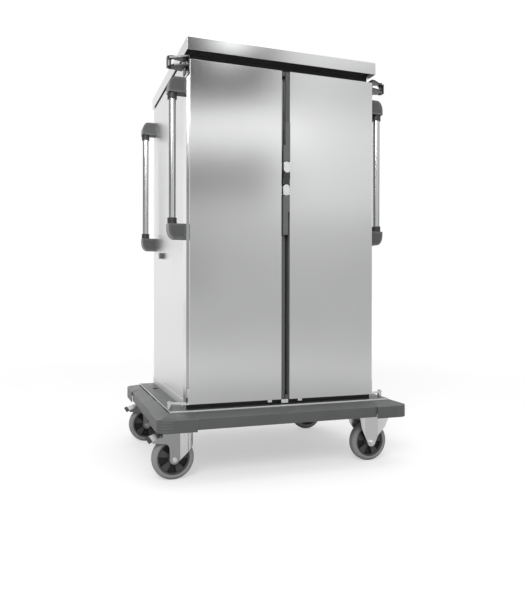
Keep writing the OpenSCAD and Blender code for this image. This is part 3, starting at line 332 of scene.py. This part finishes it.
# One finish for each material slot of the record
materials = {
    "cabinet_steel": brushedSteel("cabinetSteel", (0.62, 0.622, 0.624), 0.16, edgeWearAndSheen=0.2),
    "liner_steel": brushedSteel("linerSteel", (0.62, 0.625, 0.63), 0.36),
    "fitting_steel": brushedSteel("fittingSteel", (0.72, 0.725, 0.73), 0.26, fineness=1500.0),
    "tube_steel": brushedSteel("tubeSteel", (0.62, 0.625, 0.63), 0.22, fineness=1500.0),
    "zinc_steel": brushedSteel("zincSteel", (0.50, 0.502, 0.505), 0.36, 500.0, edgeWearAndSheen=0.5),
    "chassis_paint": mouldedPlastic("chassisPaint", (0.06, 0.062, 0.066), 0.45, 900.0),
    # The bumper's strong edge lift is a painted highlight along its edges
    "bumper_plastic": mouldedPlastic("bumperPlastic", (0.088, 0.090, 0.091), 0.38, 1100.0,
                                     dusty=0.12, edgeWearAndSheen=1.6, paintedHollowShade=0.12),
    "handle_plastic": mouldedPlastic("handlePlastic", (0.11, 0.112, 0.113), 0.34, 1800.0,
                                     dusty=0.1),
    "latch_plastic": mouldedPlastic("latchPlastic", (0.115, 0.117, 0.118), 0.4, 1800.0,
                                    dusty=0.1),
    "edge_plastic": mouldedPlastic("edgePlastic", (0.075, 0.077, 0.08), 0.45, 1500.0),
    "black_plastic": mouldedPlastic("blackPlastic", (0.008, 0.008, 0.009), 0.6, 1500.0,
                                    dusty=0.05),
    "seal_rubber": mouldedPlastic("sealRubber", (0.015, 0.015, 0.016), 0.7, 2500.0, dusty=0.1),
    "foam_board": mouldedPlastic("foamBoard", (0.70, 0.64, 0.44), 0.9, 700.0, dusty=0.3),
    "tyre_grey": mouldedPlastic("tyreGrey", (0.27, 0.27, 0.275), 0.62, 1600.0, dusty=0.35),
    "rim_black": mouldedPlastic("rimBlack", (0.055, 0.055, 0.056), 0.42, 1500.0, dusty=0.1,
                                paintedHollowShade=0.6),
}

# Finishes of pieces, or of places on them, whose tone differs from the rest of their slot
special = {
    "swivelZinc": brushedSteel("swivelZinc", (0.43, 0.432, 0.435), 0.34, 500.0, edgeWearAndSheen=0.5),
    "yokeGrey": brushedSteel("yokeGrey", (0.10, 0.101, 0.103), 0.42, edgeWearAndSheen=0.8),
    # Painted light: a lighter, rougher copy of the cabinet steel for the side walls, lit from
    # the left
    "sideLitSatin": brushedSteel("sideLitSatin", (0.79, 0.79, 0.79), 0.46, edgeWearAndSheen=0.2),
    "skirtSatin": brushedSteel("skirtSatin", (0.80, 0.80, 0.80), 0.55, edgeWearAndSheen=0.2),
    "panelZinc": brushedSteel("panelZinc", (0.74, 0.742, 0.745), 0.36, 500.0, edgeWearAndSheen=0.4),
    "wingHighlightZinc": brushedSteel("wingHighlightZinc", (0.90, 0.90, 0.90), 0.36, 500.0, edgeWearAndSheen=0.3),
    "latchDark": mouldedPlastic("latchDark", (0.022, 0.022, 0.023), 0.45, 1800.0, dusty=0.1),
    "noseHighlightZinc": brushedSteel("noseHighlightZinc", (0.88, 0.88, 0.88), 0.30, 500.0, edgeWearAndSheen=0.3),
    "nutBright": brushedSteel("nutBright", (0.86, 0.86, 0.86), 0.30, 1500.0, edgeWearAndSheen=0.2),
    "panelShadeGrey": mouldedPlastic("panelShadeGrey", (0.072, 0.073, 0.074), 0.4, 1800.0, dusty=0.1),
    "pocketShadeBlack": mouldedPlastic("pocketShadeBlack", (0.006, 0.006, 0.006), 0.6, 1500.0,
                                  dusty=0.02, edgeWearAndSheen=0.2),
    "latchSatin": brushedSteel("latchSatin", (0.80, 0.80, 0.80), 0.42, 1500.0, edgeWearAndSheen=0.3),
}

# The nodes that wear a finish other than their slot's
finishes = {
    "swivel_fork_front": "swivelZinc",
    "swivel_fork_rear": "swivelZinc",
    "hinge_brackets_top": "yokeGrey",
    "fixed_axles": "nutBright",
    "fixed_forks": "panelZinc",
    "side_wall_left": "sideLitSatin",
    "side_wall_right": "sideLitSatin",
    "latch_base_left": "latchDark",
    "latch_base_right": "latchDark",
    "latch_hub_upper": "latchSatin",
    "latch_hub_lower": "latchSatin",
}
print("materials made")


def finishOf(node):
    return special[finishes[node]] if node in finishes else materials[slotOf[node]]


# Edge radii in millimetres of the nodes that a copy replaces; 0 leaves its edges sharp
edgeRadii = {
    "door_skin_left": 1.8, "door_skin_right": 1.8,
    "door_edge_left": 0.8, "door_edge_right": 0.8,
    "door_hinges_left": 0.8, "door_hinges_right": 0.8,
    "hinge_brackets_top": 0.7, "hinge_posts_bottom": 0.6,
    "latch_base_left": 1.0, "latch_base_right": 1.0,
    "latch_hub_upper": 0.8, "latch_hub_lower": 0.8,
    "latch_grip_upper": 1.2, "latch_grip_lower": 1.2,
    "roof_cover": 1.6, "roof_plinth": 0.8,
    "side_wall_left": 0.5, "side_wall_right": 0.5,
    "back_wall": 0.5, "front_frame": 0.6,
    "handle_elbows": 3.0, "handle_tubes": 0.4,
    "door_catches": 1.0, "sill_blocks": 1.0, "deck_edge_trim": 0.8,
    "bumper_rails": 1.5, "bumper_corners": 1.2,
    "swivel_fork_front": 0.9, "swivel_fork_rear": 0.9, "fixed_forks": 0.9,
    "brake_pedal_front": 1.2, "brake_pedal_rear": 1.2,
    "tyre_front_left": 0, "tyre_rear_left": 0,
    "tyre_front_right": 0, "tyre_rear_right": 0,
    "rim_front_left": 0.5, "rim_rear_left": 0.5,
    "rim_front_right": 0.5, "rim_rear_right": 0.5,
}

roundValues = {
    "merge": 0.002,  # millimetres
    "flat": 0.5,  # degrees up to which neighbours become one face
    "sharp": 32,  # degrees from which an edge is rounded
    "segments": 2,
}


def roundEdges(bm, edges, radius):
    bmesh.ops.bevel(bm, geom=edges, offset=radius * mm, offset_type="OFFSET",
                    segments=roundValues["segments"], profile=0.5, affect="EDGES",
                    clamp_overlap=True, material=-1)


def softCopy(node, radius, values):
    # A merged copy of a CAD node with its hard edges rounded
    bm = bmesh.new()
    bm.from_mesh(nodes[node].data)
    bmesh.ops.remove_doubles(bm, verts=bm.verts, dist=values["merge"] * mm)
    bmesh.ops.dissolve_limit(bm, angle_limit=math.radians(values["flat"]), verts=bm.verts,
                             edges=bm.edges, delimit={"NORMAL"})
    sharp = math.radians(values["sharp"])
    hard = [edge for edge in bm.edges
            if len(edge.link_faces) == 2 and edge.calc_face_angle(0) > sharp]
    if radius:
        roundEdges(bm, hard, radius)
    return bm


shadeValues = {
    "smooth": 40,  # degrees up to which the shading runs over an edge
    "normalDigits": 2,  # faces of one plane agree in this many digits
    "placeDigits": 4,
}


def planeKey(face, values):
    normal = face.normal
    return (*(round(axis, values["normalDigits"]) for axis in normal),
            round(normal.dot(face.verts[0].co), values["placeDigits"]))


def cornerNormals(bm, values):
    # Normals that leave flat faces flat: each neighbour counts by the area of its whole plane
    keys = [planeKey(face, values) for face in bm.faces]
    planes = {}
    for face, key in zip(bm.faces, keys):
        planes[key] = planes.get(key, 0) + face.calc_area()
    bm.faces.index_update()
    limit = math.cos(math.radians(values["smooth"]))
    normals = []
    for face in bm.faces:
        for loop in face.loops:
            total = Vector((0, 0, 0))
            for other in loop.vert.link_faces:
                if other.normal.dot(face.normal) > limit:
                    total += other.normal * planes[keys[other.index]]
            normals.append(total.normalized() if total.length > 0 else face.normal.copy())
    return normals


def finishPiece(name, bm, body, finish, stands=()):
    bmesh.ops.triangulate(bm, faces=[face for face in bm.faces if len(face.verts) > 4])
    bm.normal_update()
    for face in bm.faces:
        face.smooth = True
    normals = cornerNormals(bm, shadeValues)
    mesh = bpy.data.meshes.new(name)
    bm.to_mesh(mesh)
    bm.free()
    mesh.materials.append(finish)
    mesh.normals_split_custom_set(normals)
    piece = bpy.data.objects.new(name, mesh)
    bpy.context.scene.collection.objects.link(piece)
    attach(piece, body)
    if stands:
        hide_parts(*stands)
    return piece


# A panel sunk into each broad side of a handle elbow, in millimetres
panelValues = {
    "rim": 6.0,
    "slope": 2.2,
    "depth": 1.8,
    "smallest": 900,  # square millimetres of a broad side
    "square": 0.99,  # least share of a broad side's normal along Y
}


def sinkPanels(bm, values):
    bm.normal_update()
    broad = [face for face in bm.faces if abs(face.normal.y) > values["square"]
             and face.calc_area() > values["smallest"] * mm * mm]
    for face in broad:
        bmesh.ops.inset_region(bm, faces=[face], thickness=values["rim"] * mm,
                               use_even_offset=True)
        bmesh.ops.inset_region(bm, faces=[face], thickness=values["slope"] * mm,
                               depth=-values["depth"] * mm, use_even_offset=True)
    print("panels sunk:", len(broad))


def dressCopy(node, radius):
    bm = softCopy(node, radius, roundValues)
    if node == "handle_elbows":
        sinkPanels(bm, panelValues)
    return finishPiece("dressed_" + node, bm, bodyOf[node], finishOf(node), [node])


def dressPlain(node):
    mesh = nodes[node].data
    mesh.materials.clear()
    mesh.materials.append(finishOf(node))


def middleOf(node):
    low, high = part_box(node)
    return (low + high) / 2


def toneWhere(piece, material, chosen):
    # Gives the faces that pass a test of their middle and normal another material
    mesh = piece.data
    mesh.materials.append(material)
    row = len(mesh.materials) - 1
    for face in mesh.polygons:
        if chosen(face.center, face.normal):
            face.material_index = row


def toneHinges(node, piece):
    # The top yoke is dark, the bottom arm is plain steel
    half = middleOf(node).z
    toneWhere(piece, special["yokeGrey"], lambda at, normal: at.z > half)


pedalValues = {"toe": 11.8}  # length of the dark toe in millimetres


def tonePedal(node, piece):
    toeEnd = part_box(node)[0].x + pedalValues["toe"] * mm
    toneWhere(piece, materials["black_plastic"], lambda at, normal: at.x < toeEnd)


swivelValues = {
    "cheekOut": 29.5,  # millimetres from the wheel's middle to just outside a cheek
    "noseTurn": 0.12,  # least share of a nose face's normal along X, from which it gets a painted highlight
}


def toneSwivelFork(node, piece):
    middle = middleOf(node.replace("swivel_fork", "tyre") + "_left").y
    cheekOut = swivelValues["cheekOut"] * mm
    # Painted highlight: fork faces turned towards +X get a lighter zinc, as light falls from the
    # right
    toneWhere(piece, special["noseHighlightZinc"], lambda at, normal: normal.x > swivelValues["noseTurn"])
    toneWhere(piece, special["nutBright"], lambda at, normal: abs(at.y - middle) > cheekOut)


wingValues = {"turn": (0.12, 0.8)}  # share of a slanted wing's normal along X, where it gets a painted highlight


def toneFixedForks(node, piece):
    least, most = wingValues["turn"]
    # Painted highlight: slanted wing faces get a lighter zinc than the rest of the fork
    toneWhere(piece, special["wingHighlightZinc"], lambda at, normal: least < abs(normal.x) < most)


rimValues = {"web": 7.5}  # millimetres from the wheel's middle to the floor of the pockets, which get painted shade


def toneRim(node, piece):
    middle = middleOf(node).y
    web = rimValues["web"] * mm
    # Painted shade: the faces deep in the rim's pockets are made black
    toneWhere(piece, special["pocketShadeBlack"], lambda at, normal: abs(at.y - middle) < web)


wallValues = {"skirt": 28.5}  # millimetres from the foot to just above the light skirt


def toneSideWall(node, piece):
    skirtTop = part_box(node)[0].z + wallValues["skirt"] * mm
    toneWhere(piece, special["skirtSatin"], lambda at, normal: at.z < skirtTop)


frameValues = {
    "sill": 70,  # millimetres from the foot, above all faces of the sill
    "post": 21.5,  # millimetres in from each side, which are left to the corner posts
}


def toneFrontFrame(node, piece):
    low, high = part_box(node)
    sillTop = low.z + frameValues["sill"] * mm
    sillEnd = high.x - frameValues["post"] * mm
    # Painted shadow: the sill seen in the gap under the doors is made black
    toneWhere(piece, materials["black_plastic"],
              lambda at, normal: at.z < sillTop and abs(at.x) < sillEnd)


elbowValues = {
    "width": 40,  # millimetres, as the next two
    "arm": 58,  # from an elbow's outer end to just past its arm, where the socket starts
    "slack": 0.3,  # how near a face must be to the floor of a panel
    "underside": -0.9,  # most of a normal's share along Z of an underside, which gets painted shade
}


def toneElbows(node, piece):
    values = elbowValues
    low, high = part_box(node)
    rows = (low.y + values["width"] / 2 * mm, high.y - values["width"] / 2 * mm)
    panelFloor = (values["width"] / 2 - panelValues["depth"]) * mm
    sockets = (low.z + values["arm"] * mm, high.z - values["arm"] * mm)

    def onPanel(at, normal):
        off = min(abs(abs(at.y - row) - panelFloor) for row in rows)
        return abs(normal.y) > panelValues["square"] and off < values["slack"] * mm

    def shaded(at, normal):
        return normal.z < values["underside"] or sockets[0] < at.z < sockets[1]

    # Painted shade: the floors of the sunk panels get a darker grey
    toneWhere(piece, special["panelShadeGrey"], onPanel)
    # Painted shade on the undersides; the socket collars are dark as well
    toneWhere(piece, special["latchDark"], shaded)


# What gives a second tone to the nodes whose names start so
tones = {
    "door_hinges": toneHinges,
    "brake_pedal": tonePedal,
    "swivel_fork": toneSwivelFork,
    "fixed_forks": toneFixedForks,
    "rim_": toneRim,
    "side_wall": toneSideWall,
    "front_frame": toneFrontFrame,
    "handle_elbows": toneElbows,
}

for node in nodes:
    if node not in edgeRadii:
        dressPlain(node)
        continue
    piece = dressCopy(node, edgeRadii[node])
    for start, tone in tones.items():
        if node.startswith(start):
            tone(node, piece)
print("pieces dressed")

# Round plugs in the top of the deck, behind the middle of each end, in millimetres
plugValues = {
    "x": 416,
    "y": 157,
    "radius": 12.5,
    "taper": 1,
    "height": 1.6,
    "round": 0.7,
    "sides": 40,  # straight pieces of its rim
}


def makeDeckPlugs(values):
    bm = bmesh.new()
    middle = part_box("deck_plate")[1][2] + values["height"] * mm / 2
    for side in (-1, 1):
        place = Vector((side * values["x"] * mm, values["y"] * mm, middle))
        bmesh.ops.create_cone(bm, cap_ends=True, segments=values["sides"],
                              radius1=values["radius"] * mm,
                              radius2=(values["radius"] - values["taper"]) * mm,
                              depth=values["height"] * mm, matrix=Matrix.Translation(place))
    rim = [edge for edge in bm.edges if min(vert.co.z for vert in edge.verts) > middle]
    roundEdges(bm, rim, values["round"])
    slot = "black_plastic"
    finishPiece("deck_plugs", bm, bodyOf["deck_plate"], materials[slot])


makeDeckPlugs(plugValues)
print("deck plugs made")

floorValues = {
    "colour": (0.55, 0.55, 0.55),
    "lift": (0.48, 0.72),  # added where the floor should look white, near and far
    "liftReach": (1.4, 7.0),  # metres from the cart, as the next
    "gloss": 0.34,  # added where metal mirrors the floor, further out
    "glossReach": (1.5, 3.2),
    "glossBehind": 0.30,  # added where the sides mirror the floor behind the cart
    "behind": (0.4, 1.5),  # metres along Y
    "size": 60,
}


def floorGlow(tree, values):
    # How much the floor is lifted for the camera, and where metal mirrors it
    place = addNode(tree, "ShaderNodeTexCoord", (-1500, 200))
    away = addNode(tree, "ShaderNodeVectorMath", (-1300, 200), operation="LENGTH")
    link(tree, place.outputs["Object"], away.inputs[0])
    parts = addNode(tree, "ShaderNodeSeparateXYZ", (-1300, -600))
    link(tree, place.outputs["Object"], parts.inputs[0])
    lift = mapRange(tree, (-1100, 200), away.outputs["Value"], values["liftReach"],
                    values["lift"], "SMOOTHSTEP")
    gloss = mapRange(tree, (-1100, -400), away.outputs["Value"], values["glossReach"],
                     (0, values["gloss"]), "SMOOTHSTEP")
    behind = mapRange(tree, (-1100, -650), parts.outputs[1], values["behind"],
                      (0, values["glossBehind"]), "SMOOTHSTEP")
    path = addNode(tree, "ShaderNodeLightPath", (-1300, -200))
    clear = mathNode(tree, "MAXIMUM", (-900, -100), path.outputs["Is Camera Ray"],
                     path.outputs["Is Transmission Ray"])
    seen = mathNode(tree, "MULTIPLY", (-700, 0), clear, lift)
    shine = mathNode(tree, "ADD", (-880, -400), gloss, behind)
    mirrored = mathNode(tree, "MULTIPLY", (-700, -250), path.outputs["Is Glossy Ray"], shine)
    return mathNode(tree, "ADD", (-500, -100), seen, mirrored)


def floorPaint(values):
    material = bpy.data.materials.new("floorPaint")
    material.use_nodes = True
    tree = material.node_tree
    tree.nodes.remove(tree.nodes["Principled BSDF"])
    matt = addNode(tree, "ShaderNodeBsdfDiffuse", (-200, 100))
    matt.inputs["Color"].default_value = (*values["colour"], 1)
    glow = addNode(tree, "ShaderNodeEmission", (-200, -100))
    link(tree, floorGlow(tree, values), glow.inputs["Strength"])
    both = addNode(tree, "ShaderNodeAddShader", (40, 0))
    link(tree, matt.outputs[0], both.inputs[0])
    link(tree, glow.outputs[0], both.inputs[1])
    link(tree, both.outputs[0], tree.nodes["Material Output"].inputs["Surface"])
    return material


def makeFloor(values):
    mesh = bpy.data.meshes.new("floor")
    bm = bmesh.new()
    bmesh.ops.create_grid(bm, x_segments=1, y_segments=1, size=values["size"])
    bm.to_mesh(mesh)
    bm.free()
    mesh.materials.append(floorPaint(values))
    floor = bpy.data.objects.new("floor", mesh)
    bpy.context.scene.collection.objects.link(floor)


# The studio's walls, seen by direction: azimuth from the front towards the cart's right,
# and elevation, in degrees
studio = {
    # elevation and brightness, as the left and the right door mirror them
    "leftBands": [(-15, 0.66), (4, 0.72), (9.5, 0.84), (12.4, 0.46), (14.5, 0.42),
                  (16.0, 1.05), (17.5, 1.55), (19.5, 1.85), (20.7, 0.6), (21.8, 0.03),
                  (24.2, 0.03), (27, 0.30), (31, 0.9), (45, 1.0)],
    "rightBands": [(-15, 0.66), (3, 0.72), (6.5, 0.80), (10.5, 1.12), (17.4, 1.30),
                   (21, 0.98), (26, 1.25), (32, 1.0), (45, 1.0)],
    "turnover": (23.0, 27.6),  # azimuths from the left bands to the right ones
    "front": (55, 85),  # azimuths to either side where the bands give way to the rest
    "around": 0.95,
    # soft cards: azimuth, elevation, width, height, change of brightness
    "cards": [
        (20.5, 26.7, 2.1, 1.6, 4.0), (24.2, 25.8, 1.4, 1.6, -0.3),
        (15.0, 26.6, 2.4, 2.4, -0.8), (18.5, 22.6, 4.4, 1.6, -0.35),
        (35.0, 25.0, 3.0, 1.6, 0.25), (27.2, 17.4, 2.2, 1.8, 0.42),
        (35.5, 20, 3.5, 7, -0.18), (15.0, 3, 3.0, 14, -0.18),
        (-167, 12, 34, 22, 0.24), (150, 8, 30, 18, 0.2), (62, 14, 16, 18, -0.5),
        (90, 14, 24, 18, -0.6), (130, 14, 24, 18, -0.4), (-70, 14, 28, 18, -0.6),
        (-110, 14, 28, 18, -0.55), (180, 36, 40, 12, -0.35), (-60, 30, 22, 9, -0.3),
    ],
    "fall": 0.3679,  # what is left of a card's change at its stated width or height
    "least": 0.03,
    "fill": 0.66,  # even light for what isn't mirrored
}


def skyDirection(tree):
    # Azimuth and elevation of a ray, in degrees
    place = addNode(tree, "ShaderNodeTexCoord", (-2600, 0))
    parts = addNode(tree, "ShaderNodeSeparateXYZ", (-2400, 0))
    link(tree, place.outputs["Generated"], parts.inputs[0])
    ahead = mathNode(tree, "MULTIPLY", (-2200, 100), parts.outputs[1], -1.0)
    turn = mathNode(tree, "ARCTAN2", (-2000, 100), parts.outputs[0], ahead)
    azimuth = mathNode(tree, "MULTIPLY", (-1800, 100), turn, 180 / math.pi)
    rise = mathNode(tree, "ARCSINE", (-2000, -100), parts.outputs[2])
    elevation = mathNode(tree, "MULTIPLY", (-1800, -100), rise, 180 / math.pi)
    return azimuth, elevation


def bandRamp(tree, place, height, span, bands):
    ramp = addNode(tree, "ShaderNodeValToRGB", place)
    ramp.color_ramp.interpolation = "EASE"
    link(tree, height, ramp.inputs[0])
    elements = ramp.color_ramp.elements
    elements[0].color = (bands[0][1],) * 3 + (1,)
    elements[1].color = (bands[-1][1],) * 3 + (1,)
    lowest, highest = span
    for angle, value in bands[1:-1]:
        share = (angle - lowest) / (highest - lowest)
        elements.new(share).color = (value,) * 3 + (1,)
    return ramp.outputs["Color"]


def bandWalls(tree, azimuth, elevation, values):
    # The bands in front of the cart, and an even tone round the rest
    span = (values["leftBands"][0][0], values["leftBands"][-1][0])
    height = mapRange(tree, (-1500, -100), elevation, span)
    left = bandRamp(tree, (-1200, 100), height, span, values["leftBands"])
    right = bandRamp(tree, (-1200, -200), height, span, values["rightBands"])
    turned = mapRange(tree, (-1200, 400), azimuth, values["turnover"], shape="SMOOTHSTEP")
    bands = mixColour(tree, (-900, 0), turned, left, right)
    width = mathNode(tree, "ABSOLUTE", (-1500, 400), azimuth)
    beside = mapRange(tree, (-1200, 650), width, values["front"], shape="SMOOTHSTEP")
    return mixColour(tree, (-700, 0), beside, bands, (values["around"],) * 3)


def softCard(tree, place, azimuth, elevation, card, fall):
    # A soft-edged card: its change of brightness falls off as a bell from its middle
    middle, height, wide, high, change = card
    x, y = place
    across = mathNode(tree, "SUBTRACT", (x, y), azimuth, middle)
    across = mathNode(tree, "WRAP", (x + 160, y), across, 180.0, -180.0)
    across = mathNode(tree, "DIVIDE", (x + 320, y), across, wide)
    across = mathNode(tree, "ABSOLUTE", (x + 400, y), across)
    across = mathNode(tree, "POWER", (x + 480, y), across, 2.0)
    up = mathNode(tree, "SUBTRACT", (x, y - 180), elevation, height)
    up = mathNode(tree, "DIVIDE", (x + 160, y - 180), up, high)
    up = mathNode(tree, "MULTIPLY", (x + 320, y - 180), up, up)
    away = mathNode(tree, "ADD", (x + 640, y), across, up)
    bell = mathNode(tree, "POWER", (x + 800, y), fall, away)
    return mathNode(tree, "MULTIPLY", (x + 960, y), bell, change)


def cardWalls(tree, total, azimuth, elevation, values):
    for row, card in enumerate(values["cards"]):
        y = -500 - 380 * row
        change = softCard(tree, (-2200, y), azimuth, elevation, card, values["fall"])
        total = mathNode(tree, "ADD", (-400, y), total, change)
    return mathNode(tree, "MAXIMUM", (-200, -200), total, values["least"])


def lightByRay(tree, walls, values):
    # The camera sees white, metal and glass mirror the walls, the rest gets an even fill
    path = addNode(tree, "ShaderNodeLightPath", (-900, 900))
    direct = mathNode(tree, "MAXIMUM", (-700, 900), path.outputs["Is Camera Ray"],
                      path.outputs["Is Glossy Ray"])
    direct = mathNode(tree, "MAXIMUM", (-520, 900), direct, path.outputs["Is Transmission Ray"])
    shown = mixColour(tree, (0, 0), path.outputs["Is Camera Ray"], walls, (1, 1, 1))
    backdrop = addNode(tree, "ShaderNodeBackground", (250, 100))
    link(tree, shown, backdrop.inputs["Color"])
    fill = addNode(tree, "ShaderNodeBackground", (250, -100))
    fill.inputs["Color"].default_value = (1, 1, 1, 1)
    fill.inputs["Strength"].default_value = values["fill"]
    join = addNode(tree, "ShaderNodeMixShader", (500, 0))
    link(tree, direct, join.inputs[0])
    link(tree, fill.outputs[0], join.inputs[1])
    link(tree, backdrop.outputs[0], join.inputs[2])
    return join.outputs[0]


def makeWorld(values):
    world = bpy.data.worlds.new("studio")
    bpy.context.scene.world = world
    world.use_nodes = True
    tree = world.node_tree
    tree.nodes.clear()
    azimuth, elevation = skyDirection(tree)
    walls = bandWalls(tree, azimuth, elevation, values)
    walls = cardWalls(tree, walls, azimuth, elevation, values)
    end = addNode(tree, "ShaderNodeOutputWorld", (700, 0))
    link(tree, lightByRay(tree, walls, values), end.inputs[0])


# Places and sizes in metres, power in watts
lampValues = {
    "keyLamp": {"place": (-2.2, -3.4, 3.4), "aim": (0, 0, 0.6), "size": 1.8, "power": 105},
    "topLamp": {"place": (0.3, -0.4, 4.4), "aim": (0, 0, 1), "size": 3, "power": 45},
}


def makeLamp(name, values):
    data = bpy.data.lights.new(name, "AREA")
    data.shape = "SQUARE"
    data.size = values["size"]
    data.energy = values["power"]
    lamp = bpy.data.objects.new(name, data)
    lamp.location = values["place"]
    aim = Vector(values["aim"]) - Vector(values["place"])
    lamp.rotation_euler = aim.to_track_quat("-Z", "Y").to_euler()
    bpy.context.scene.collection.objects.link(lamp)


makeFloor(floorValues)
makeWorld(studio)
for name, values in lampValues.items():
    makeLamp(name, values)
bpy.context.scene.view_settings.view_transform = "Standard"
print("studio made")
